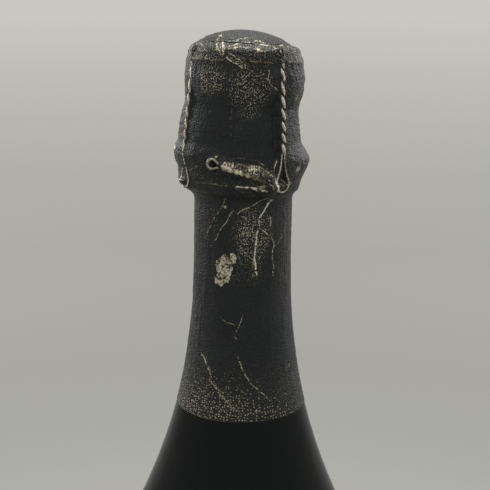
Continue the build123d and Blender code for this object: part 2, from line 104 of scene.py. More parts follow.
def add(tree, kind, *inputs, out=0, stops=(), **settings):
    """Adds a node with its inputs in order and its settings by name, and gives its output out.
    stops are a colour ramp's, as (place, colour or grey)."""
    node = give(tree.nodes.new("ShaderNode" + kind), {**settings, **dict(enumerate(inputs))})
    if stops:
        points = node.color_ramp.elements
        while len(points) < len(stops):
            points.new(0.5)
        for point, (place, colour) in zip(points, stops):
            point.position = place
            point.color = linear(colour) if isinstance(colour, str) else [colour] * 3 + [1.0]
    return node.outputs[out] if node.outputs else node


def seen_directly(tree):
    """1 for a ray from the camera, or one that glass or gloss passes on, and 0 for the rest."""
    path = add(tree, "LightPath").node.outputs
    seen = path["Is Camera Ray"]
    for kind in ("Is Transmission Ray", "Is Glossy Ray"):
        seen = add(tree, "Math", seen, path[kind], operation="MAXIMUM")
    return seen


floor_reach = 250.0
nearest_reach = 1.6  # per metre: the ramp's end, 0.34 m behind the bottle
floor_greys = (
    (0.0, "#cecdc8"), (0.042, "#cbc9c2"), (0.117, "#c4c1bb"), (0.216, "#bab9b2"),
    (0.353, "#aaa9a3"), (0.443, "#a1a09b"), (0.68, "#999894"), (0.83, "#9b9b97"),
    (0.97, "#a1a19b"),
)
floor_glow = 1.18
glow_share = 0.65
bpy.ops.mesh.primitive_circle_add(vertices=128, radius=floor_reach, fill_type="NGON")
floor = bpy.context.object
floor.name = "floor"
matte = bpy.data.materials.new("matte_floor")
matte.use_nodes = True
tree = matte.node_tree
tree.nodes.clear()
place = add(tree, "TexCoord", out="Object")
reach = add(tree, "VectorMath", place, operation="LENGTH", out="Value")
reach = add(tree, "Math", reach, camera_distance, operation="ADD")
nearness = add(tree, "Math", 1 / nearest_reach, reach, operation="DIVIDE")
grey = add(tree, "ValToRGB", nearness, stops=floor_greys)
surface = add(tree, "BsdfDiffuse", grey)
shown = add(tree, "Emission", grey, floor_glow)
seen = add(tree, "Math", seen_directly(tree), glow_share, operation="MULTIPLY")
add(tree, "OutputMaterial", add(tree, "MixShader", seen, surface, shown))
floor.data.materials.append(matte)
floor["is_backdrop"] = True

world = bpy.data.worlds.new("pale_room")
bpy.context.scene.world = world
world.use_nodes = True
tree = world.node_tree
tree.nodes.clear()
room = add(tree, "Background", linear("#f4f3f0"), 0.55)
wall = add(tree, "Background", linear("#c9c7c2"), 1.0)
add(tree, "OutputWorld", add(tree, "MixShader", seen_directly(tree), room, wall))


def soft_light(name, place, aim, size, power):
    """A square area light at place, turned towards aim, both in metres."""
    data = bpy.data.lights.new(name, "AREA")
    data.shape = "SQUARE"
    data.size = size
    data.energy = power
    lamp = bpy.data.objects.new(name, data)
    bpy.context.scene.collection.objects.link(lamp)
    lamp.location = place
    way = np.array(aim) - np.array(place)
    flat = math.hypot(way[0], way[1])
    lamp.rotation_euler = (math.atan2(flat, -way[2]), 0, math.atan2(-way[0], way[1]))


soft_light("ceiling_light", (0.1, 0.35, 1.5), (0, 0, 0.3), 1.0, 14.0)
soft_light("left_light", (-1.0, 0.8, 0.7), (0, 0, 0.25), 0.7, 6.2)
soft_light("right_light", (1.0, 0.8, 0.7), (0, 0, 0.25), 0.7, 4.8)


# The glass: a blown bottle of dark green, nearly black, soda-lime glass. It is fire-polished,
# so it is glossy, with faint waves and the mould's seam down both sides.
def new_material(name):
    """A node material: it, its tree, its Principled shader and the place on the object."""
    material = bpy.data.materials.new(name)
    material.use_nodes = True
    tree = material.node_tree
    return material, tree, tree.nodes["Principled BSDF"], add(tree, "TexCoord", out="Object")


def painted(node, material):
    """Gives a kept CAD node its material."""
    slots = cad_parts[node].data.materials
    slots.clear()
    slots.append(material)


# Black glass: almost no light comes through, so what shows is the gloss, soft at the outline.
wave_length = 18 * mm
seam_width = 0.4 * mm
glass, tree, shader, place = new_material("dark_green_bottle_glass")
waves = add(tree, "TexNoise", place, Scale=1 / wave_length, Detail=2.0)
tint = add(tree, "ValToRGB", waves, stops=[(0.3, "#050c0d"), (0.7, "#081110")])
off_seam = add(tree, "Math", add(tree, "SeparateXYZ", place, out="Y"), operation="ABSOLUTE")
seam = add(tree, "ValToRGB", off_seam, stops=[(0.0, 1.0), (seam_width, 0.0)])
uneven = add(tree, "Math", waves, 4.0, operation="MULTIPLY")
uneven = add(tree, "Math", seam, uneven, operation="ADD")
bump = add(tree, "Bump", Height=uneven, Strength=0.2, Distance=0.3 * mm)
give(shader, {
    "Base Color": tint, "Normal": bump, "Roughness": 0.09, "IOR": 1.52,
    "Specular IOR Level": 0.06, "Transmission Weight": 0.2,
})
painted("glass_bottle", glass)

# The wine: a gold liquid up to its level below the foil's edge. It shows only as a faint warm
# tone through the black glass.
wine, tree, shader, place = new_material("aged_wine")
haze = add(tree, "TexNoise", place, Scale=1 / (40 * mm), Detail=3.0)
tint = add(tree, "ValToRGB", haze, stops=[(0.3, "#a87a30"), (0.7, "#c89a4a")])
give(shader, {
    "Base Color": tint, "Roughness": 0.02, "IOR": 1.34, "Transmission Weight": 0.9,
})
painted("wine", wine)

# The cork: a body of pressed cork granules with two discs of natural cork glued below it. The
# granules differ in tone, and the sawn surface is dull.
granule = 2.2 * mm
saw_marks = 0.4 * mm
cork, tree, shader, place = new_material("agglomerated_cork")
cells = add(tree, "TexVoronoi", place, Scale=1 / granule, out="Color")
stops = [(0.0, "#8a6238"), (0.5, "#b98d5c"), (1.0, "#d3ad7c")]
tone = add(tree, "ValToRGB", cells, stops=stops)
fine = add(tree, "TexNoise", place, Scale=1 / saw_marks, Detail=3.0)
bump = add(tree, "Bump", Height=fine, Strength=0.6, Distance=0.4 * mm)
give(shader, {"Base Color": tone, "Normal": bump, "Roughness": 0.85})
painted("cork_body", cork)

# Natural cork: one pale brown piece with darker pores that run level, cut across the grain.
pore = 1.6 * mm
disc_cork, tree, shader, place = new_material("natural_cork")
stretched = add(tree, "Mapping", place, Scale=(1.0, 1.0, 4.0))
pores = add(tree, "TexNoise", stretched, Scale=1 / pore, Detail=4.0)
stops = [(0.36, "#7a5330"), (0.44, "#c39a68"), (0.7, "#d5b081")]
tone = add(tree, "ValToRGB", pores, stops=stops)
bump = add(tree, "Bump", Height=pores, Strength=0.5, Distance=0.4 * mm)
give(shader, {"Base Color": tone, "Normal": bump, "Roughness": 0.8})
for name in ("cork_disc_upper", "cork_disc_lower"):
    painted(name, disc_cork)

# The cap: a disc of pressed and lacquered tinplate under the wire hood's ring. The black
# lacquer is dulled by small scuffs, and the tin shows in the deepest of them.
scuff = 1.2 * mm
tinplate, tree, shader, place = new_material("lacquered_tinplate")
scuffs = add(tree, "TexNoise", place, Scale=1 / scuff, Detail=4.0)
stops = [(0.3, "#2a2a2c"), (0.62, "#3a3834"), (0.75, "#6e6657")]
tone = add(tree, "ValToRGB", scuffs, stops=stops)
dull = add(tree, "ValToRGB", scuffs, stops=[(0.2, 0.25), (0.8, 0.45)])
give(shader, {"Base Color": tone, "Roughness": dull, "Metallic": 0.9})
painted("cap_plaque", tinplate)

# The wires: soft galvanised iron. One makes the ring over the cap, and its two sides run down
# each leg as a twist that opens into an eye. The other is the belt with its twisted loop.
# From here on, shapes are in mm, and an azimuth is in degrees from the front towards the right.
frame_wire_radius = 0.43
strand_offset = 0.46
legs = (38.0, 126.0, 212.0, 298.0)
frame_ring = 11.6
frame_top = 317.03
fan = 1.3  # how far to the side of a leg the wire leaves the ring
leg_corners = ((12.9, 317.03), (15.73, 317.03), (15.96, 311.03), (18.16, 290.9), (18.16, 288.6))
leg_rounds = (1.3, 6.0, 4.0)
# The heights of the twist's start, of each place where one strand lies over the other, and of
# the twist's end
crossings = (313.9, 313.0, 310.2, 305.9, 302.8, 299.2, 296.0, 293.0, 290.2, 288.6)
leg_leans = (-0.85, 0.5, -0.6, 0.0)  # how far each leg's foot lies to the side
lean_start, lean_height = 309.0, 20.0
eye_round = 2.2
eye_drop = 8.05
belt_wire_radius = 0.4
belt_level = 280.0
belt_outside_eye, belt_inside_eye, belt_between = 19.07, 17.25, 14.85  # its radius there
loop_root = np.array((7.6, -18.13, 281.5))
loop_way = np.array((-0.95905, 0.0, 0.283237))
loop_twist = (1.52, 14.4)  # its start and end, from the root
loop_pitch = 3.4
loop_offset = 0.43
loop_ring_radius = 1.25
loop_neck = 2.4
strand_points = 90


def spaced(points, step):
    """The same line with points every step mm: each coordinate against the length so far."""
    length = np.concatenate([[0], np.cumsum(np.linalg.norm(np.diff(points, axis=0), axis=1))])
    stations = np.linspace(0, length[-1], max(2, round(length[-1] / step)))
    return np.stack([np.interp(stations, length, column) for column in points.T], axis=1)


def rounded(corners, rounds):
    """Straight runs between corners, each inner corner an arc of its radius, tangent to both."""
    corners = np.array(corners)
    line = [corners[:1]]
    for before, corner, after, radius in zip(corners, corners[1:], corners[2:], rounds):
        a = (before - corner) / np.linalg.norm(before - corner)
        b = (after - corner) / np.linalg.norm(after - corner)
        half = math.acos(float(np.clip(a @ b, -1, 1))) / 2
        middle = (a + b) / np.linalg.norm(a + b)
        centre = corner + middle * radius / math.sin(half)
        across = (a - b) / np.linalg.norm(a - b)
        turn = np.linspace(math.pi / 2 - half, half - math.pi / 2, 24)[:, None]
        line.append(centre + radius * (across * np.sin(turn) - middle * np.cos(turn)))
    return np.concatenate(line + [corners[-1:]])


def teardrop(half_gap, radius, length):
    """A round of radius, length below a narrow opening, and the two arcs that curve out to it."""
    flare = (length**2 - radius**2 + half_gap**2) / (2 * (radius - half_gap))
    turn = math.atan2(length, half_gap + flare)
    down = np.linspace(0, turn, 14)
    side = np.stack([half_gap + flare - flare * np.cos(down), -flare * np.sin(down)], axis=1)
    low = np.linspace(turn, -math.pi - turn, 40)
    bottom = np.stack([radius * np.cos(low), radius * np.sin(low) - length], axis=1)
    return np.concatenate([side[:-1], bottom, (side * (-1, 1))[::-1][1:]])


def swung(start, start_way, end, end_way):
    """A quarter bend from start along start_way to end along end_way: a cubic Bezier."""
    handle = 0.39 * np.linalg.norm(end - start)
    t = np.linspace(0, 1, 10)[1:-1, None]
    a, b = start + start_way * handle, end - end_way * handle
    return (1 - t) ** 3 * start + 3 * t * (1 - t) ** 2 * a + 3 * t * t * (1 - t) * b + t**3 * end


def leg_line(angle, lean, before, after):
    """The frame wire from the middle of the gap before a leg, down, round its eye and up, to the
    middle of the gap after it. Worked out as (outwards, sideways, height), then turned."""
    axis = spaced(rounded(leg_corners, leg_rounds), 0.25)
    way = np.gradient(axis, axis=0)
    way /= np.linalg.norm(way, axis=1)[:, None]
    turns = [0, *(math.pi * (k + 0.5) for k in range(len(crossings) - 2))]
    turns.append(math.pi * (len(crossings) - 2))
    twist = np.interp(-axis[:, 1], -np.array(crossings), turns)
    strands = [
        np.stack([
            axis[:, 0] + way[:, 1] * np.sin(twist) * strand_offset * side,
            np.cos(twist) * strand_offset * side,
            axis[:, 1] - way[:, 0] * np.sin(twist) * strand_offset * side,
        ], axis=1)
        for side in (-1, 1)
    ]
    drop = teardrop(strand_offset, eye_round, eye_drop)[1:-1]
    eye = np.stack([
        np.full(len(drop), leg_corners[-1][0]), -drop[:, 0], leg_corners[-1][1] + drop[:, 1]
    ], axis=1)
    fork = math.degrees(2 * fan / frame_ring)

    def ring(start, end):
        turn = np.radians(np.linspace(start, end, 16))
        return np.stack([
            frame_ring * np.cos(turn), frame_ring * np.sin(turn), np.full(16, frame_top)
        ], axis=1)

    first, last = ring(-before / 2, -fork), ring(fork, after / 2)
    tilt = math.radians(fork)
    along = np.array((math.sin(tilt), math.cos(tilt), 0))
    outwards = np.array((1.0, 0, 0))
    down = swung(first[-1], along, strands[0][0], outwards)
    up = swung(strands[1][0], -outwards, last[0], along * (-1, 1, 1))
    line = np.concatenate([first, down, strands[0], eye, strands[1][::-1], up, last[:-1]])
    line[:, 1] += lean * np.clip((lean_start - line[:, 2]) / lean_height, 0, 1) ** 1.2
    turn = math.radians(angle)
    return np.stack([
        line[:, 0] * math.sin(turn) + line[:, 1] * math.cos(turn),
        line[:, 1] * math.sin(turn) - line[:, 0] * math.cos(turn),
        line[:, 2],
    ], axis=1)


def belt_line():
    """The belt from the loop's root through the four eyes and back: its radius swings between
    the places it passes as 3t^2 - 2t^3, at one height."""
    tail, half_eye, lead = 2.77, 5.9, 15.3  # degrees
    root = math.degrees(math.atan2(loop_root[0], -loop_root[1]))
    root_radius = math.hypot(loop_root[0], loop_root[1])
    stops = [(root + tail, root_radius)]
    for leg, following in zip(legs, legs[1:] + (root + 360,)):
        if leg > legs[0]:
            stops.append((leg - lead, belt_inside_eye))
        stops += [(leg - half_eye, belt_outside_eye), (leg + half_eye, belt_inside_eye)]
        shares = (0.3, 0.5, 0.7) if following < 360 else (0.35, 0.6)
        stops += [(leg + (following - leg) * share, belt_between) for share in shares]
    stops.append((root + 360 - tail, root_radius))
    turns, radii = np.transpose(stops)
    turn = np.linspace(turns[0], turns[-1], 720)
    run = np.clip(np.searchsorted(turns, turn, side="right") - 1, 0, len(turns) - 2)
    t = (turn - turns[run]) / (turns[run + 1] - turns[run])
    radius = radii[run] + (radii[run + 1] - radii[run]) * (3 * t**2 - 2 * t**3)
    return round_points(turn, radius, np.full(turn.shape, belt_level))


def loop_line():
    """The loop: one strand of the twist out from the root, the ring, and the other strand back."""
    across = np.cross(np.cross((0, 0, 1), loop_way), loop_way)
    across /= np.linalg.norm(across)
    front = np.cross(loop_way, across)
    reach = np.linspace(*loop_twist, strand_points)[:, None]
    turn = 2 * math.pi * (reach - loop_twist[1]) / loop_pitch
    swing = (across * np.cos(turn) + front * np.sin(turn)) * loop_offset
    middle = loop_root + loop_way * reach
    drop = teardrop(loop_offset, loop_ring_radius, loop_neck)[1:-1]
    ring = loop_root + loop_way * (loop_twist[1] - drop[:, 1:]) + across * drop[:, :1]
    return np.concatenate([middle + swing, ring, (middle - swing)[::-1]])


def round_points(angle, radius, height):
    """Points at an azimuth from the front, a radius and a height, as an array of x, y, z."""
    turn = np.radians(angle)
    return np.stack([radius * np.sin(turn), -radius * np.cos(turn), height], axis=-1)


def tube(line, radius, closed=False):
    """Rings of points round a line, square to it, each begun on the side that faces out and up.
    The ends of an open line are drawn together to a point, which closes them flat."""
    if closed:
        way = np.roll(line, -1, axis=0) - np.roll(line, 1, axis=0)
    else:
        way = np.gradient(line, axis=0)
    way /= np.linalg.norm(way, axis=1)[:, None]
    lean = line * (1, 1, 0)
    lean = lean / np.linalg.norm(lean, axis=1)[:, None] + (0, 0, 1)
    first = lean - way * (lean * way).sum(axis=1)[:, None]
    first /= np.linalg.norm(first, axis=1)[:, None]
    second = np.cross(way, first)
    sides = 12
    turn = np.linspace(0, 2 * np.pi, sides, endpoint=False)[None, :, None]
    spokes = first[:, None] * np.cos(turn) + second[:, None] * np.sin(turn)
    rings = line[:, None] + radius * spokes
    if closed:
        return rings
    ends = [np.repeat(line[i][None, None], sides, axis=1) for i in (0, -1)]
    return np.concatenate([ends[0], rings, ends[1]])


def grid_piece(name, points, material, values=None, closed_rows=False, sheet=None):
    """A mesh from a grid of points in mm, rows by columns, whose columns close to a round.
    values are named arrays on the same grid, kept as attributes. sheet is where each point lies
    on the sheet laid flat, in mm, with one column more; it becomes the UV map."""
    rows, columns = points.shape[:2]
    number = np.arange(rows * columns).reshape(rows, columns)
    low = number if closed_rows else number[:-1]
    high = np.roll(number, -1, axis=0)[: len(low)]
    quads = np.stack([low, np.roll(low, -1, 1), np.roll(high, -1, 1), high], axis=-1)
    mesh = bpy.data.meshes.new(name)
    mesh.from_pydata((points.reshape(-1, 3) * mm).tolist(), [], quads.reshape(-1, 4).tolist())
    for key, value in (values or {}).items():
        data = mesh.attributes.new(key, "FLOAT", "POINT").data
        data.foreach_set("value", np.ascontiguousarray(value, dtype=np.float32).ravel())
    if sheet is not None:
        rolled = np.roll(sheet, -1, axis=0)[: len(low)]
        corners = (sheet[: len(low), :-1], sheet[: len(low), 1:], rolled[:, 1:], rolled[:, :-1])
        corners = np.stack(corners, axis=2).astype(np.float32)
        mesh.uv_layers.new(name="sheet").data.foreach_set("uv", corners.ravel())
    work = bmesh.new()
    work.from_mesh(mesh)
    bmesh.ops.remove_doubles(work, verts=work.verts, dist=1e-4 * mm)
    for face in work.faces:
        face.smooth = True
    work.to_mesh(mesh)
    work.free()
    piece = bpy.data.objects.new(name, mesh)
    bpy.context.scene.collection.objects.link(piece)
    mesh.materials.append(material)
    return piece


def declare(piece, body, node):
    """Hangs a piece on the body it rides on, and hides the CAD node it stands for."""
    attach(piece, body)
    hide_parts(node)


# Zinc: dull grey metal, with the white bloom that zinc gets in patches.
bloom = 0.8 * mm
zinc, tree, shader, place = new_material("galvanised_wire")
patches = add(tree, "TexNoise", place, Scale=1 / bloom, Detail=4.0)
tone = add(tree, "ValToRGB", patches, stops=[(0.3, "#8d8b85"), (0.75, "#bdbab2")])
dull = add(tree, "ValToRGB", patches, stops=[(0.2, 0.3), (0.8, 0.55)])
bump = add(tree, "Bump", Height=patches, Strength=0.3, Distance=0.05 * mm)
give(shader, {"Base Color": tone, "Normal": bump, "Roughness": dull, "Metallic": 1.0})
painted("twist_root", zinc)

leg_gaps = [(b - a) % 360 for a, b in zip(legs, legs[1:] + legs[:1])]
leg_lines = [
    leg_line(leg, leg_leans[i], leg_gaps[i - 1], leg_gaps[i]) for i, leg in enumerate(legs)
]
frame_wire = grid_piece(
    "frame_wire", tube(np.concatenate(leg_lines), frame_wire_radius, closed=True), zinc,
    closed_rows=True,
)
declare(frame_wire, "cage", "wire_frame")
belt = grid_piece("belt", tube(belt_line(), belt_wire_radius), zinc)
declare(belt, "cage", "belt_wire")
loop_piece = grid_piece("loop", tube(spaced(loop_line(), 0.2), belt_wire_radius), zinc)
declare(loop_piece, "loop", "twist_loop")

# The foil hood: thin aluminium foil under black lacquer, pressed by hand over the cork, the
# wires and the glass ring. The lacquer is rubbed off its ridges. It tears off at its foot.
foil_thickness = 0.25
tear_height = 277.1
wall_top = 315.0
apex = 321.5
dome_radius = 26.3
hole_radius = 8.6
columns = 600
angles = np.linspace(-180, 180, columns, endpoint=False)


def noise(turn, height, cells, step, seed):
    """Value noise from -1 to 1: random numbers on a lattice that closes round the bottle, cells
    to a turn and step mm apart in height, blended by 3t^2 - 2t^3 both ways."""
    rows, shift = 97, 11.3
    table = np.random.default_rng(seed).uniform(-1, 1, (rows, cells))
    u, v = turn * cells, height / step + shift
    i, j = np.floor(u).astype(int), np.floor(v).astype(int)
    s, t = u - i, v - j
    s, t = s * s * (3 - 2 * s), t * t * (3 - 2 * t)
    low, high = (
        table[row % rows, i % cells] * (1 - s) + table[row % rows, (i + 1) % cells] * s
        for row in (j, j + 1)
    )
    return low * (1 - t) + high * t


def folds(turn, height, count, spacing, warp, seed):
    """Sharp folds, 0 in the valleys and 1 on the ridges: a triangle wave of count ridges to a
    turn, spacing mm apart in height, its phase bent by noise."""
    phase = turn * count + height / spacing + warp * noise(turn, height, 9, 7.0, seed)
    return np.abs(2 * (phase - np.floor(phase)) - 1)


def crumple(turn, height, seed):
    """Hand-pressed foil in mm: three sets of sharp folds, patchy, and fine waves."""
    patchy = 0.5 + 0.5 * noise(turn, height, 7, 9.0, seed + 5)
    form = 0.2 * patchy * folds(turn, height, 5, 6.5, 2.2, seed)
    form += 0.16 * (1 - patchy) * folds(turn, height, -7, 5.0, 1.8, seed + 1)
    form += 0.09 * folds(turn, height, 16, 11.0, 2.6, seed + 2)
    form += 0.06 * noise(turn, height, 60, 1.6, seed + 3)
    return form + 0.04 * noise(turn, height, 130, 0.8, seed + 4) - 0.2


def smooth(low, high, value):
    """0 below low, 1 above high, 3t^2 - 2t^3 between."""
    t = np.clip((value - low) / (high - low), 0, 1)
    return t * t * (3 - 2 * t)


def over(base, form, blend):
    """The higher of two forms, rounded over blend mm where they meet."""
    gap = np.clip(0.5 + 0.5 * (form - base) / blend, 0, 1)
    return base * (1 - gap) + form * gap + blend * gap * (1 - gap)


def along_line(place, points, around=1e9):
    """For a line drawn by its corners on a surface laid flat: the signed distance in mm of each
    place from its nearest run, and how far along the line, 0 to 1. The flat surface closes on
    itself every so many mm around."""
    nearest = np.full(place[0].shape, 1e3)
    share = np.zeros(nearest.shape)
    points = np.array(points, dtype=float)
    length = np.concatenate([[0], np.cumsum(np.hypot(*np.diff(points, axis=0).T))])
    for number, ((x0, y0), (x1, y1)) in enumerate(zip(points, points[1:])):
        x = (place[0] - x0 + around / 2) % around - around / 2
        y = place[1] - y0
        dx, dy = x1 - x0, y1 - y0
        t = np.clip((x * dx + y * dy) / (dx * dx + dy * dy), 0, 1)
        gap = np.hypot(x - t * dx, y - t * dy) * np.where(x * dy - y * dx < 0, -1, 1)
        closer = np.abs(gap) < np.abs(nearest)
        nearest = np.where(closer, gap, nearest)
        so_far = (length[number] + t * (length[number + 1] - length[number])) / length[-1]
        share = np.where(closer, so_far, share)
    return nearest, share


def creased(place, lines, around=1e9):
    """Creases on the foil, each (strength, corners): the signed distance in mm from the nearest
    one, its strength there, which fades at its ends, and the ridge that they raise, in mm."""
    fade_share, ridge_height, ridge_width = 0.08, 0.17, 0.42
    nearest = np.full(place[0].shape, 2.0)
    strength = np.zeros(nearest.shape)
    ridge = np.zeros(nearest.shape)
    for level, points in lines:
        gap, share = along_line(place, points, around)
        fade = level * smooth(0, fade_share, share) * smooth(1, 1 - fade_share, share)
        ridge = np.maximum(ridge, ridge_height * fade * np.exp(-((gap / ridge_width) ** 2)))
        closer = (np.abs(gap) < np.abs(nearest)) & (np.abs(gap) < 1.2)
        nearest = np.where(closer, gap, nearest)
        strength = np.where(closer, fade * (np.abs(gap) < 1.0), strength)
    return nearest, strength, ridge


def wrapped(radius, lines):
    """Lines drawn as (degrees, height) on a round of that radius, laid flat in mm."""
    return [
        (level, [(math.radians(a) * radius, z) for a, z in points]) for level, points in lines
    ]


def wandering(count, low, high, seed, lean):
    """Fine creases at random: each starts anywhere round the bottle and wanders down in three
    runs that lean to either side. In front they are faint, since the drawn ones show there."""
    draw = np.random.default_rng(seed)
    lines = []
    for _ in range(count):
        angle = draw.uniform(-180, 180)
        height = draw.uniform(low + 3, high)
        side = draw.choice((-1, 1)) * draw.uniform(0.3, 1.0) * lean
        run = draw.uniform(1.0, 3.2)
        line = [(angle, height)]
        for _ in range(3):
            angle += math.degrees(side * run / 16) * draw.uniform(0.4, 1.6)
            height = max(low, height - run * draw.uniform(0.5, 1.3))
            line.append((angle, height))
        level = draw.uniform(0.15, 0.5) * (0.35 if abs(line[0][0]) < 60 else 1.0)
        lines.append((level, line))
    return lines


# Radius against height on the left, on the right and in front, as (height, radius)
left_side = (
    (277.0, 16.6), (278.4, 18.3), (280.5, 18.8), (283.4, 18.9), (284.9, 19.6), (287.6, 20.2),
    (289.4, 19.8), (290.8, 18.9), (296.3, 18.3), (299.2, 17.7), (302.0, 16.8), (305.0, 16.9),
    (309.0, 17.0), (313.0, 16.5), (314.8, 16.2), (316.3, 15.6),
)
right_side = (
    (277.0, 15.9), (279.1, 16.5), (280.5, 16.9), (282.0, 17.7), (283.4, 18.3), (284.9, 18.9),
    (286.3, 18.8), (287.8, 17.9), (289.2, 17.0), (290.8, 16.3), (296.3, 15.7), (300.0, 15.4),
    (302.0, 16.0), (304.8, 16.8), (309.0, 17.0), (313.0, 16.5), (314.8, 15.9), (316.3, 14.9),
)
front_side = (
    (277.0, 16.4), (278.2, 17.3), (279.8, 17.75), (281.5, 17.5), (284.5, 17.7), (288.5, 17.5),
    (291.0, 17.0), (296.0, 16.6), (300.5, 15.9), (303.0, 16.2), (306.0, 16.7), (309.5, 16.8),
    (312.6, 16.25), (313.5, 16.5), (315.0, 16.1), (316.3, 15.4),
)


def side_radius(angle, height):
    """Radius of the hood's wall: the front, left and right outlines blended round the bottle."""
    across = np.sin(np.radians(angle))
    left, right, front = (
        np.interp(height, *np.transpose(side)) for side in (left_side, right_side, front_side)
    )
    sides = np.where(across < 0, left, right)
    return front + (sides - front) * across**2


def dome(radius, angle):
    """Height of the top's outside: a part of a sphere, tipped a little towards the right."""
    tip = 0.04 * radius * np.sin(np.radians(angle))
    return apex - radius**2 / (2 * dome_radius) - tip


def shoulder(share, start, angle):
    """Radius and height over the hood's shoulder, from share 0, where the wall of radius start
    ends, to 1, at the edge of the hole: a cubic that leaves upwards and meets the dome."""
    meet, meet_share = 12.9, 0.7
    lap = 0.4  # the hood lies this far below the disc on top of it
    t = np.clip(share / meet_share, 0, 1)
    end = dome(meet, angle) - lap
    slope = -meet / dome_radius
    hold = 5.6
    lead = (2 * t**3 - 3 * t**2 + 1, t**3 - 2 * t**2 + t, 3 * t**2 - 2 * t**3, t**3 - t**2)
    radius = lead[0] * start - 0.1 * hold * lead[1] + lead[2] * meet - hold * lead[3]
    height = lead[0] * wall_top + hold * lead[1] + lead[2] * end - hold * slope * lead[3]
    beyond = np.clip((share - meet_share) / (1 - meet_share), 0, 1)
    inside = meet + (hole_radius - meet) * beyond
    flat = share > meet_share
    return np.where(flat, inside, radius), np.where(flat, dome(inside, angle) - lap, height)


def fallen_beside(side, fall):
    """How far foil has fallen at a distance to the side of a wire: a hyperbola, fall steep."""
    bend = 0.28
    return fall * (np.hypot(side, bend) - bend)


def lift_over(points, normals, line, cover, fall):
    """How far each point moves along its normal for the foil to lie over a wire: out to the
    wire's middle and its cover, less what it falls at its distance to the side."""
    lift = np.full(points.shape[:-1], -9.0)
    for part in np.array_split(line, max(1, len(line) // 40)):
        way = part - points[..., None, :]
        out = np.einsum("...pk,...k->...p", way, normals)
        side = np.sqrt(np.maximum((way**2).sum(axis=-1) - out**2, 0))
        lift = np.maximum(lift, (out - fallen_beside(side, fall)).max(axis=-1) + cover)
    return lift


# Creases that the photograph shows, each with its strength, as (degrees, height)
top_creases = (
    (0.85, ((-54, 319.5), (-33.5, 318.8), (-25.1, 317.4), (-20.6, 315.4), (-19, 314.7))),
    (0.6, ((-52, 320.2), (-30.1, 318.3), (-21.7, 317.2), (-19.5, 315.6))),
    (0.8, ((-42.8, 318.8), (-29.9, 316.9), (-23.4, 315.2), (-19, 314.7))),
    (0.6, ((-50, 320.0), (-37.5, 318.3), (-29.5, 316.8), (-24, 315.2))),
    (0.6, ((-24, 318.2), (-12, 318.6), (-2, 318.9), (8, 319.2))),
    (0.8, ((-20.9, 316.9), (-13.8, 317.3), (-7.3, 318), (1.6, 318.4), (13.2, 318.1),
           (24.1, 317.8), (30.7, 317.6), (33.4, 316.9), (36.8, 315.9), (38, 314.4))),
    (0.7, ((10.1, 318.6), (21.7, 318.7), (26.9, 318.2), (31.4, 317.7))),
    (0.6, ((-19.2, 316.2), (-12.5, 316.8), (-4.5, 317.2), (3.5, 316.9), (11.5, 316.8),
           (17.2, 316.2), (24.7, 316.4))),
    (0.8, ((35, 317.5), (46.2, 317.8), (66.2, 318.2))),
    (0.6, ((-75, 316.5), (-60, 317.5), (-48, 316.8))),
)
wall_creases = (
    (0.8, ((-19, 314.7), (-13, 313.5), (-7.3, 312.8), (-3.7, 312), (-1.9, 311.3))),
    (0.7, ((-17.8, 315.7), (-11.6, 315), (-5.7, 314), (-1.1, 313), (0.7, 312), (-0.2, 311))),
    (0.5, ((-66, 313.8), (-56.2, 313.9), (-40.3, 314.1), (-33, 313.8), (-26.5, 313.6),
           (-20.7, 314))),
    (0.45, ((3.3, 313.5), (14.2, 313.4), (29.7, 312.9))),
    (0.5, ((43.8, 313.3), (55.6, 313.1), (75.5, 313.1))),
    (0.6, ((18.3, 312.7), (22.4, 311.7), (23.2, 310.5), (21.2, 309), (23.4, 307.7),
           (28.4, 306.6), (34.7, 305.5))),
    (0.55, ((6.2, 305.8), (11.5, 305.7), (16, 305.1), (19.9, 304.6))),
    (0.4, ((-3.5, 309.5), (1.7, 308.3))),
    (0.4, ((6.1, 308), (8.8, 306.5))),
    (0.45, ((-39.2, 280.4), (-24.9, 280.4), (-17.6, 280.3), (-12.1, 280.2))),
    (1.0, ((-9.5, 280.1), (2.9, 279.9), (11.5, 279.7), (20.6, 279.6))),
    (0.6, ((13.4, 286), (19.2, 284.4))),
    (0.7, ((18.3, 284.9), (24.1, 283.2))),
    (0.5, ((12.0, 287.0), (17.5, 286.0), (21.5, 285.6))),
    (0.6, ((16.9, 281.7), (22.9, 280.2))),
    (0.6, ((19.8, 281.1), (25.1, 279.7))),
    (0.5, ((-42, 285.1), (-48.7, 284.1), (-55.3, 283.3))),
    (0.35, ((-12, 287.7), (-4, 287.8), (4, 287.6), (14, 287.1))),
    (0.9, ((-62.5, 291.5), (-61, 289.5), (-59.5, 287), (-58.5, 284.5))),
    (0.9, ((30.4, 287.5), (27.6, 285.1), (27.9, 282.0), (28.5, 278.8))),
    (0.8, ((34.9, 281.8), (39.1, 280.9), (43.3, 279.5))),
    (0.26, ((-12, 303.0), (-13, 298.0), (-12, 293.0))),
    (0.22, ((-8, 302.0), (-7.5, 296.0), (-8.5, 291.5))),
    (0.22, ((-3, 304.0), (-2.2, 299.0), (-3.4, 294.5))),
)
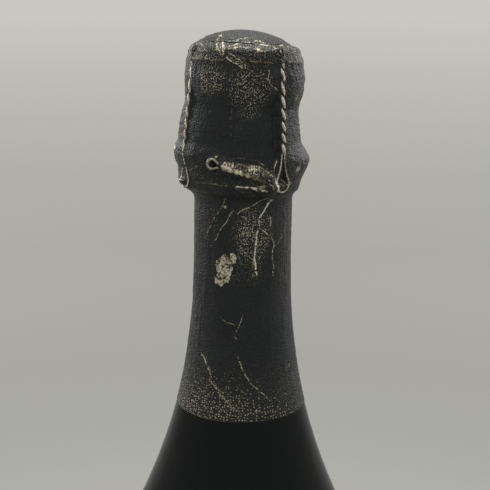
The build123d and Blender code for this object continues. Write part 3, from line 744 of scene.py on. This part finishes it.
# Short upright wrinkles above the loop, where the foil is drawn down over it
loop_wrinkles = []
for k in range(17):
    start, fallen = 2.3 * k - 16, 0.09 * k
    line = ((start, 287.1 - fallen), (start - 0.4, 284.4 - fallen))
    loop_wrinkles.append((0.7 + 0.3 * math.sin(7.0 * k), line))
hood_rubs = (  # degrees, height, size, strength
    (-81, 288.6, 0.9, 1.2), (56.4, 283.9, 1.1, 0.75), (62, 303.4, 1.6, 0.5),
    (-22.9, 288.1, 0.3, 0.9), (-29, 316.4, 0.6, 0.6), (13.2, 316.5, 0.6, 1.0),
    (-10, 317.0, 0.5, 0.6), (45, 281.4, 0.8, 0.5), (150, 300, 1.8, 0.5),
    (-150, 284, 1.5, 0.6), (185, 312, 1.6, 0.5),
)

# The grid: the wall from the tear line up, with rows closest round the belt and the eyes, and
# then the shoulder
foot_rows, wall_rows, shoulder_rows = 62, 118, 30
foot_top = 290.5
inner_heights = (
    314.6, 311.5, 309.0, 305.0, 302.0, 300.0, 296.3, 292.5, 290.8, 289.3, 287.6, 284.9, 282.0,
    280.0, 278.2, tear_height,
)
heights = np.concatenate([
    np.linspace(tear_height, foot_top, foot_rows, endpoint=False),
    np.linspace(foot_top, wall_top, wall_rows - foot_rows),
])
angle, height = np.meshgrid(angles, heights)
radius = side_radius(angle, height)
angle_top, share = np.meshgrid(angles, np.linspace(0, 1, shoulder_rows + 1)[1:])
top_radius, top_height = shoulder(share, radius[-1], angle_top)
angle = np.concatenate([angle, angle_top])
height = np.concatenate([height, top_height])
radius = np.concatenate([radius, top_radius])
rise, run = np.gradient(height, axis=0), np.gradient(radius, axis=0)
steep = np.hypot(rise, run)
points = round_points(angle, radius, height)
normals = round_points(angle, rise / steep, -run / steep)

turn = angle / 360
on_top = smooth(wall_top - 1, wall_top + 1.5, height)
calm = 0.5 + 0.5 * smooth(20, 60, np.abs(angle)) - 0.2 * on_top
form = crumple(turn, height + 2.5 * (16 - radius) * on_top, 3) * calm
form += 0.035 * noise(turn, height, 150, 12.0, 9) * (1 - on_top)
wall_size = 17.0  # the radius at which the wall is laid flat
lines = list(wall_creases) + loop_wrinkles + wandering(70, tear_height, wall_top, 5, 0.8)
gap, strength, ridge = creased(
    (np.radians(angle) * wall_size, height), wrapped(wall_size, lines), 2 * np.pi * wall_size
)
# Over the top a place is laid flat by its length from the apex, not by its height
step = np.hypot(np.diff(radius, axis=0), np.diff(height, axis=0))
reach = hole_radius + np.concatenate([np.cumsum(step[::-1], axis=0)[::-1], 0 * step[:1]])
front = columns // 2


def laid_flat(angle, reach):
    """Where a place at an azimuth and a length from the apex lies on the top laid flat."""
    return reach * np.sin(np.radians(angle)), reach * np.cos(np.radians(angle))


def reach_at(z):
    """Length from the apex of a place at height z: the dome's radius, or the hood's own sum."""
    if z > height[-1, front]:
        return math.sqrt(max(0, 2 * dome_radius * (apex - z)))
    return float(np.interp(z, height[:, front], reach[:, front]))


top_lines = [(level, [laid_flat(a, reach_at(z)) for a, z in line]) for level, line in top_creases]
gap_top, strength_top, ridge_top = creased(laid_flat(angle, reach), top_lines)
upper = (height > 314.2) & (strength_top >= strength)
gap, strength = np.where(upper, gap_top, gap), np.where(upper, strength_top, strength)
form += np.maximum(ridge, ridge_top * upper)
base_form = form.copy()

# The foil over the four legs, and where their strands and eyes stand proud enough to be rubbed
leg_reach, leg_from, slack = 13, 12.2, 0.12
axis_radius, axis_height = np.transpose(leg_corners[:1:-1])
proud = np.zeros(angle.shape)
for leg, line in zip(legs, leg_lines):
    near = np.abs((angles - leg + 180) % 360 - 180) < leg_reach
    beyond = spaced(line[np.hypot(line[:, 0], line[:, 1]) > leg_from], 0.3)
    cover = frame_wire_radius + slack
    lift = lift_over(points[:, near], normals[:, near], beyond, cover, 1.6)
    form[:, near] = over(form[:, near], lift, 0.3)
    axis = np.interp(height[:, near], axis_height, axis_radius)
    outside = radius[:, near] + form[:, near] - axis
    twist = smooth(0.46, 0.72, outside) * (height[:, near] < 313)
    eye = 0.85 * smooth(0.4, 0.58, outside) * (height[:, near] < 288.8)
    proud[:, near] = np.where(lift > base_form[:, near] - 0.1, np.maximum(twist, eye), 0)

# The foil over the belt, and over the loop: its ring and shank, and the stub at its root
low = height[:, 0] < 292
belt_points = belt_line()
belt_turn = np.degrees(np.arctan2(belt_points[:, 0], -belt_points[:, 1]))
belt_radius = np.hypot(belt_points[:, 0], belt_points[:, 1])
belt_radius = np.interp(angles % 360, belt_turn % 360, belt_radius, period=360)
belt_lift = belt_radius[None] + belt_wire_radius + slack - radius[low]
belt_lift -= fallen_beside(height[low] - belt_level, 1.2)
form[low] = over(form[low], belt_lift, 0.2)
window = np.ix_(low, np.abs(angles + 4) < 33)
whole_loop = loop_line()
ring_start = strand_points - 6  # a little before the strand's end
stub = loop_root + np.array((0, 0, 1)) * np.linspace(-1.9, 1.0, 10)[:, None]
shank = loop_root + loop_way * np.linspace(0, 1.6, 6)[:, None]
wires_under = (  # line, cover, fall, blend
    (whole_loop[ring_start:-ring_start], 0.1, 1.9, 0.15),
    (whole_loop[:strand_points], 0.2, 0.8, 0.4), (whole_loop[-strand_points:], 0.2, 0.8, 0.4),
    (stub, 0.1, 1.3, 0.3), (shank, 0.5, 1.3, 0.3),
)
for line, cover, fall, blend in wires_under:
    cover += belt_wire_radius
    lift = lift_over(points[window], normals[window], spaced(line, 0.25), cover, fall)
    form[window] = over(form[window], lift, blend)
in_front = (radius + form)[window] * np.cos(np.radians(angle[window])) + loop_root[1]
across = (radius * np.sin(np.radians(angle)))[window]
wear_across = (-6.3, 0.0), (-6.0, 0.5), (-5.4, 1.0), (0.6, 1.0), (1.4, 0.55), (5.0, 0.5), (5.8, 0.0)
wear = np.interp(across, *np.transpose(wear_across))
wear *= 0.7 + 0.5 * noise(turn[window], height[window], 130, 1.3, 71)
top_of_ring = 0.85 * smooth(0.3, 0.48, in_front) * (across < -6.2)
top_of_shank = wear * smooth(0.55, 0.85, in_front)
proud[window] = np.maximum(proud[window], np.maximum(top_of_ring, top_of_shank))


def relief(form, rows, columns):
    """How far a form stands above its own average over rows by columns grid steps, by means
    along both ways of the grid."""
    pad = np.pad(form, ((rows, rows), (0, 0)), "edge")
    total = np.cumsum(np.vstack([np.zeros(form.shape[1]), pad]), axis=0)
    mean = (total[2 * rows + 1 :] - total[: -2 * rows - 1]) / (2 * rows + 1)
    wide = np.hstack([mean[:, -columns:], mean, mean[:, :columns]])
    total = np.cumsum(np.hstack([np.zeros((form.shape[0], 1)), wide]), axis=1)
    return form - (total[:, 2 * columns + 1 :] - total[:, : -2 * columns - 1]) / (2 * columns + 1)


def rubbed_places(angle, height, radius, places):
    """The most of several round rubs, each (degrees, height, size, strength) and fading as a
    bell curve of the distance."""
    most = np.zeros(angle.shape)
    for azimuth, level, size, strength in places:
        across = np.radians((angle - azimuth + 180) % 360 - 180) * radius
        bell = np.exp(-(across**2 + (height - level) ** 2) / size**2)
        most = np.maximum(most, strength * bell)
    return most


def ovals(angle, height, places):
    """The sum of soft-edged ovals, each (strength, degrees, height, half width in degrees, half
    height): its strength up to half way out, falling to 0 a little beyond its edge."""
    total = np.zeros(angle.shape)
    for strength, azimuth, level, wide, high in places:
        x = ((angle - azimuth + 180) % 360 - 180) / wide
        total += strength * smooth(1.2, 0.5, np.hypot(x, (height - level) / high))
    return total


rubbed = np.maximum(proud, 0.45 * smooth(0.06, 0.2, relief(base_form, 4, 4)))
rubbed = np.maximum(rubbed, rubbed_places(angle, height, radius, hood_rubs))
crackle = ovals(angle, height, (
    (0.8, -33, 308.6, 17, 5.5), (0.9, 5, 306.8, 25, 6.5), (0.3, 68, 305, 14, 8),
    (0.5, 5, 299.6, 13, 1.6),
))
crackle += 0.6 * smooth(312.6, 313.8, height) + 0.2 * smooth(289, 284, height)
behind = smooth(50, 90, np.abs(angle))
crackle += 0.25 * (0.5 + 0.5 * noise(turn, height, 11, 8.0, 51)) * behind
crackle = 0.18 + crackle * (0.8 + 0.4 * noise(turn, height, 40, 3.0, 82))
dots = ovals(angle, height, ((0.75, -33, 308.6, 15, 4.6), (0.4, 6, 306.5, 24, 6.0)))
dots += 0.25 * on_top

outer = points + normals * form[..., None]
inner_angle, inner_height = np.meshgrid(angles, inner_heights)
wall_gap = 0.45  # between the outlines and the foil's inner side
inner_radius = side_radius(inner_angle, inner_height) - wall_gap
inner_radius[-1] = radius[0] + form[0] - foil_thickness
edge = round_points(angles[None], radius[-1:], height[-1:] - foil_thickness)
inner = np.concatenate([edge, round_points(inner_angle, inner_radius, inner_height)])


def foil_values(inner_count, **values):
    """The foil's painted values, with plain lacquer on the inner side's rows."""
    pad = np.zeros((inner_count, next(iter(values.values())).shape[1]))
    return {name: np.concatenate([value, pad]) for name, value in values.items()}


# Black lacquer on foil: a dull gloss over a leathery grain, with lighter flecks. Where it is
# rubbed off, the metal under it shows from dull gold to nearly white.
foil, tree, shader, place = new_material("black_lacquered_aluminium_foil")
grain, patches, blotch = (
    add(tree, "TexNoise", place, Scale=1 / (size * mm), Detail=3.0) for size in (0.5, 1.3, 6.0)
)
# The values that the mesh carries at each point
on = {
    name: add(tree, "Attribute", attribute_name=name, out="Fac")
    for name in ("crease", "strength", "rubbed", "crackle", "dots", "bare")
}
curl_size, bead_size = 0.8, 0.72  # mm on the sheet laid flat
on_sheet = add(tree, "UVMap", uv_map="sheet")
curls = add(
    tree, "TexVoronoi", on_sheet, feature="DISTANCE_TO_EDGE", voronoi_dimensions="2D",
    Scale=1 / curl_size,
)
beads = add(
    tree, "TexVoronoi", on_sheet, voronoi_dimensions="2D", Scale=1 / bead_size, Randomness=0.7
)

# The creases: fine bright lines that waver, wider where the crease is sharper, and broken
wobble = add(tree, "Math", patches, 0.5, operation="SUBTRACT")
wobble = add(tree, "Math", wobble, 0.8, operation="MULTIPLY")
off_line = add(tree, "Math", on["crease"], wobble, operation="ADD")
off_line = add(tree, "Math", off_line, operation="ABSOLUTE")
wider = add(tree, "Math", on["strength"], 0.1, operation="MULTIPLY")
off_line = add(tree, "Math", off_line, wider, operation="SUBTRACT")
line = add(tree, "ValToRGB", off_line, stops=[(0.0, 1.0), (0.06, 0.85), (0.16, 0.0)])
broken = add(tree, "Math", grain, patches, operation="ADD")
broken = add(tree, "Math", broken, 0.5, operation="MULTIPLY")
broken = add(tree, "ValToRGB", broken, stops=[(0.42, 0.2), (0.54, 1.0)])
broken = add(tree, "Math", broken, on["strength"], operation="MULTIPLY")
line = add(tree, "Math", line, broken, operation="MULTIPLY")

# The small marks: curls of crackled lacquer, beads of bare metal, and rubbed ridges
curl = add(tree, "ValToRGB", curls, stops=[(0.0, 1.0), (0.13, 0.0)])
kept = add(tree, "ValToRGB", grain, stops=[(0.46, 0.0), (0.58, 1.0)])
curl = add(tree, "Math", curl, kept, operation="MULTIPLY")
curl = add(tree, "Math", curl, on["crackle"], operation="MULTIPLY")
chance = add(tree, "SeparateColor", beads.node.outputs["Color"])
chance = add(tree, "Math", chance, on["dots"], operation="ADD")
chance = add(tree, "Math", chance, 0.5, operation="MULTIPLY")
chance = add(tree, "ValToRGB", chance, stops=[(0.47, 0.0), (0.58, 0.45), (0.9, 0.7)])
bead = add(tree, "ValToRGB", beads, stops=[(0.15, 1.0), (0.34, 0.0)])
bead = add(tree, "Math", bead, chance, operation="MULTIPLY")
scuffed = add(tree, "ValToRGB", grain, stops=[(0.3, 0.55), (0.6, 1.0)])
scuffed = add(tree, "Math", on["rubbed"], scuffed, operation="MULTIPLY")

# The bare patch: 2 on its outline and more inside, with a ragged edge and lacquer left in it
ragged = add(tree, "Math", wobble, 2.2, operation="MULTIPLY")
gone = add(tree, "Math", on["bare"], ragged, operation="ADD")
gone = add(tree, "Math", gone, 2.0, operation="SUBTRACT")
gone = add(tree, "ValToRGB", gone, stops=[(0.0, 0.0), (0.12, 1.0)])
for spread, stops in (patches, [(0.38, 0.15), (0.52, 0.8)]), (grain, [(0.36, 0.35), (0.54, 1.0)]):
    left = add(tree, "ValToRGB", spread, stops=stops)
    gone = add(tree, "Math", gone, left, operation="MULTIPLY")

worn = line
for mark in (scuffed, curl, bead, gone):
    worn = add(tree, "Math", worn, mark, operation="MAXIMUM")
lacquer = add(tree, "ValToRGB", blotch, stops=[(0.3, "#0a1215"), (0.7, "#151f22")])
fleck = add(tree, "ValToRGB", grain, stops=[(0.56, 0.0), (0.72, 0.18)])
stops = [(0.15, "#675c47"), (0.5, "#a99d84"), (0.9, "#e8e1d2")]
metal = add(tree, "ValToRGB", worn, stops=stops)
cover = add(tree, "ValToRGB", worn, stops=[(0.08, 0.0), (0.5, 1.0)])
cover = add(tree, "Math", cover, fleck, operation="MAXIMUM")
colour = add(tree, "Mix", cover, data_type="RGBA", out=2)
give(colour.node, {6: lacquer, 7: metal})
shine = add(tree, "Math", cover, 0.6, operation="MULTIPLY")
dull = add(tree, "ValToRGB", grain, stops=[(0.3, 0.36), (0.7, 0.52)])
leather = add(tree, "ValToRGB", curls, stops=[(0.0, 0.0), (0.25, 0.7), (0.6, 1.0)])
raised = add(tree, "Math", grain, 1.4, operation="MULTIPLY")
leather = add(tree, "Math", leather, raised, operation="ADD")
bump = add(tree, "Bump", Height=leather, Strength=0.8, Distance=0.11 * mm)
give(shader, {
    "Base Color": colour, "Normal": bump, "Metallic": shine, "Roughness": dull,
    "Specular IOR Level": 0.35,
})

values = foil_values(
    len(inner), crease=gap, strength=strength, rubbed=rubbed, crackle=crackle, dots=dots,
)
sheet_round, sheet_height = 16.0, 45.0  # a mean radius, and about the wall's height
sheet_across = np.radians(np.append(angles, 180)) * sheet_round
sheet_down = np.append(-reach[:, front], np.linspace(0, sheet_height, len(inner)))
sheet = np.stack(np.meshgrid(sheet_across, sheet_down), axis=-1)
hood = grid_piece("hood_foil", np.concatenate([outer, inner]), foil, values, True, sheet)
declare(hood, "hood", "foil_hood")
foot_radius = radius[0] + form[0]

# The top disc: a round of the same foil, glued over the hole at the hood's top. Its edge is
# pressed down, and the metal shows along it in places.
disc_radius = 12.6
disc_rows = 60
disc_angle, disc_share = np.meshgrid(angles[::2], np.linspace(0, 1, disc_rows))
disc_r = disc_radius * disc_share
disc_turn = disc_angle / 360
disc_form = 0.6 * crumple(disc_turn, disc_r * 1.5 + 300, 21) * smooth(0.05, 0.4, disc_share)
disc_height = dome(disc_r, disc_angle)
disc_gap, disc_strength, disc_ridge = creased(laid_flat(disc_angle, disc_r), top_lines)
disc_form += disc_ridge
off_edge = np.hypot(outer[wall_rows:, 0, 0], outer[wall_rows:, 0, 1]) - disc_radius
edge_row = wall_rows + np.abs(off_edge).argmin()
pressed = outer[edge_row, ::2, 2] + 0.1 - disc_height
disc_form += (pressed - disc_form) * smooth(0.86, 1.0, disc_share)
disc_outer = round_points(disc_angle, disc_r, disc_height + disc_form)
under = slice(None, None, -5)
disc_inner = round_points(
    disc_angle[under], disc_r[under], (disc_height + disc_form)[under] - foil_thickness
)
disc_values = foil_values(
    len(disc_inner), crease=disc_gap, strength=disc_strength,
    rubbed=0.5 * smooth(0.05, 0.16, relief(disc_form, 4, 4)),
    crackle=np.full(disc_r.shape, 0.4), dots=np.full(disc_r.shape, 0.15),
)
disc_points = np.concatenate([disc_outer, disc_inner])[::-1]
disc_values = {name: value[::-1] for name, value in disc_values.items()}
sheet = np.concatenate([disc_points, disc_points[:, :1]], axis=1)[..., :2]
disc = grid_piece("top_foil_disc", disc_points, foil, disc_values, sheet=sheet)
declare(disc, "hood", "foil_top_disc")

# The neck foil: the rest of the same sheet, wrapped round the neck, with fine upright wrinkles
# and a straight cut at its foot. It stays on the bottle when the hood is torn off.
neck_rows = 150
cut_height = 212.3
neck_glass, neck_foot, neck_curve = 13.55, 258.0, 188.0
neck_side = (  # height, and how far the foil stands off the glass
    (212.0, 0.14), (222.0, 0.2), (231.0, 0.4), (243.0, 0.5), (252.0, 0.7), (258.0, 0.62),
    (266.0, 0.62), (273.0, 0.6),
)
shelf = (274.0, 277.1)  # where the foil steps outwards to the hood's foot
neck_creases = (
    (0.5, ((-15.2, 277), (-20, 275.7), (-26.4, 272.5), (-32.8, 270.9), (-37.6, 268.7),
           (-42.3, 266.4), (-49.1, 263))),
    (0.6, ((28.8, 277), (20.7, 275.9), (16, 275.2), (9.5, 273.9), (1.9, 273.4), (-3.7, 272.5),
           (-8.3, 271.4))),
    (0.6, ((-8.4, 273.2), (-13.2, 272.2), (-19, 269.3), (-24.9, 267.6), (-31.2, 264.3),
           (-35.7, 262.8))),
    (1.3, ((37.4, 276.2), (30.5, 275.2), (27.6, 274.1), (24.3, 272.8), (19.4, 271),
            (18.5, 269.4), (19, 267.7), (15.7, 266.4), (15.3, 264), (14.9, 262.1),
            (13.1, 259.3), (14.5, 257.8), (16.1, 254.5), (14.7, 253.3))),
    (0.7, ((19.5, 267.7), (27.9, 266.1), (34.8, 264.5), (39.1, 262.9), (36.1, 261.1),
           (36.9, 257.7), (38.7, 256.2), (36.9, 254.8), (38.7, 252.6))),
    (0.45, ((72, 271.5), (61.3, 268), (53.9, 265.4), (44.8, 262.9), (37.3, 261.3))),
    (0.9, ((32.1, 270.9), (33.4, 269), (31.6, 267.9))),
    (0.5, ((11.2, 258.4), (11.9, 253.6))),
    (0.45, ((-26.4, 242.4), (-18.3, 240.7), (-8.4, 240), (-3.6, 239.4))),
    (0.55, ((2.1, 243.4), (-0.8, 241), (-4.7, 238.5), (-6.9, 236.6), (-4.4, 235.4))),
    (0.6, ((-4.2, 232.2), (-1.9, 229.8), (0.4, 227.9), (4.6, 225.5), (8.8, 223.6), (15, 221.6),
           (22.2, 219.8), (27.4, 217.9))),
    (0.4, ((-5.5, 222.7), (0.7, 221.2), (5.7, 219.9))),
    (0.75, ((-49.7, 230.7), (-41.9, 229.3), (-34.7, 226.6), (-29.8, 224.4), (-32, 223.3),
            (-24.4, 221.5), (-18.4, 219.3), (-9.9, 217.4), (-5.9, 216), (1.8, 215.4))),
    (0.4, ((-29.7, 223.9), (-21, 221.1), (-14.2, 218.5))),
)
patch_edge = (
    (-20.7, 260.6), (-25, 259.4), (-32.3, 257.7), (-31.1, 255.4), (-32.9, 253.3), (-31.2, 251.1),
    (-23, 251), (-15.9, 252.4), (-11.5, 255.3), (-10.5, 257.6), (-6.6, 258.5), (-6.1, 259.6),
    (-10.7, 261), (-15.3, 260.4), (-20.7, 260.6),
)


def inside(angle, height, corners):
    """Whether each place lies inside a closed outline: it is, where a level line to its right
    crosses an odd number of sides."""
    odd = np.zeros(angle.shape, dtype=bool)
    for (a0, z0), (a1, z1) in zip(corners, corners[1:]):
        spans = (height < z0) != (height < z1)
        odd ^= spans & (angle < a0 + (height - z0) / (z1 - z0 + 1e-9) * (a1 - a0))
    return odd


def neck_radius(angle, height):
    """Radius of the glass under the foil, a straight neck and then an arc, and how far the
    foil's outside stands off it."""
    drop = np.clip(neck_foot - height, 0, None)
    glass_side = neck_glass + neck_curve - np.sqrt(neck_curve**2 - drop**2)
    return glass_side, np.interp(height, *np.transpose(neck_side))


def flare(height):
    """0 up to the shelf and 1 at the tear line, as the 2.2nd power of the share between."""
    return np.clip((height - shelf[0]) / (shelf[1] - shelf[0]), 0, 1) ** 2.2


angle, share = np.meshgrid(angles, np.linspace(0, 1, neck_rows))
turn = angle / 360
foot = cut_height + 0.15 * noise(turn, turn * 0, 14, 5.0, 77)
neck_top = shelf[1] - 0.02
height = foot + (neck_top - foot) * share
upright = 0.03 * noise(turn, height, 84, 15.0, 31) + 0.045 * noise(turn, height, 150, 9.0, 32)
upright *= 0.3 + smooth(0.25, 0.9, np.abs(np.sin(np.radians(angle))))
form = 0.35 * crumple(turn, height, 13) + upright
neck_size = 14.6  # the radius at which the neck foil is laid flat
lines = list(neck_creases) + wandering(80, cut_height, shelf[0], 15, 0.5)
flat = np.radians(angle) * neck_size, height
gap, strength, ridge = creased(flat, wrapped(neck_size, lines), 2 * np.pi * neck_size)
form += ridge
held = smooth(0.0, 0.03, share) * (0.35 + 0.65 * smooth(214, 232, height))
radius = sum(neck_radius(angle, height)) + form * held
outward = flare(height)
radius += (foot_radius[None] - radius) * outward
rubbed = 0.4 * smooth(0.08, 0.2, relief(form, 4, 4)) * (1 - outward)
rim_worn = smooth(0.45, 0.1, height - foot) * smooth(0.7, -0.2, np.sin(np.radians(angle + 20)))
rubbed = np.maximum(rubbed, 0.5 * rim_worn)
neck_rubs = (-20.5, 273.6, 0.45, 1.0), (14, 215.5, 0.4, 0.9), (58, 226, 0.5, 0.6)
rubbed = np.maximum(rubbed, rubbed_places(angle, height, radius, neck_rubs))
edge_gap = np.abs(along_line(flat, wrapped(neck_size, [(1, patch_edge)])[0][1])[0])
bare = np.clip(2 + np.where(inside(angle, height, patch_edge), edge_gap, -edge_gap), 0, 4)
crackle = ovals(
    angle, height, ((1.15, 12, 266.5, 27, 8), (0.35, 6, 257, 28, 7), (0.3, 58, 255, 16, 16))
)
crackle += 0.25 * smooth(236, 218, height)
behind = smooth(60, 90, np.abs(angle))
crackle += 0.2 * (0.5 + 0.5 * noise(turn, height, 9, 9.0, 61)) * behind
crackle = 0.2 + crackle * (0.75 + 0.45 * noise(turn, height, 40, 4.0, 81))
# How high the dots rise from the cut and how dense they are round the bottle, by the azimuth
dots_reach = (-120, 12), (-66, 14), (-37, 16), (-7, 16), (8, 13), (23, 9), (60, 7), (120, 8)
dots_level = (-180, 0.4), (-100, 0.7), (-60, 0.95), (-10, 0.95), (20, 0.7), (60, 0.4), (180, 0.4)
reach = np.interp(angle, *np.transpose(dots_reach))
dots = smooth(reach + 2, 1.5, height - cut_height) * np.interp(angle, *np.transpose(dots_level))
dots += ovals(angle, height, ((0.45, 12, 267, 26, 7.5), (0.25, -40, 268, 14, 8)))

neck_outer = round_points(angle, radius, height)
fallen = (0, 0.008, 0.02, 0.035, 0.055, 0.1, 0.2, 0.35, 0.5, 0.65, 0.8, 0.9, 1.0)
inner_angle, fallen = np.meshgrid(angles, fallen)
inner_height = foot[0] + (neck_top - foot[0]) * (1 - fallen)
off_glass = 0.04
inner_radius = neck_radius(inner_angle, inner_height)[0] + off_glass
inner_radius += (foot_radius - foil_thickness - inner_radius) * flare(inner_height)
neck_inner = round_points(inner_angle, inner_radius, inner_height)
values = foil_values(
    len(neck_inner), crease=gap, strength=strength, rubbed=rubbed, crackle=crackle, dots=dots,
    bare=bare,
)
neck_points = np.concatenate([neck_outer, neck_inner])
sheet_down = np.append(height[:, 0], -inner_height[:, 0])
sheet = np.stack(np.meshgrid(sheet_across, sheet_down), axis=-1)
neck = grid_piece("neck_foil", neck_points, foil, values, True, sheet)
declare(neck, "bottle", "foil_neck")

low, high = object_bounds()
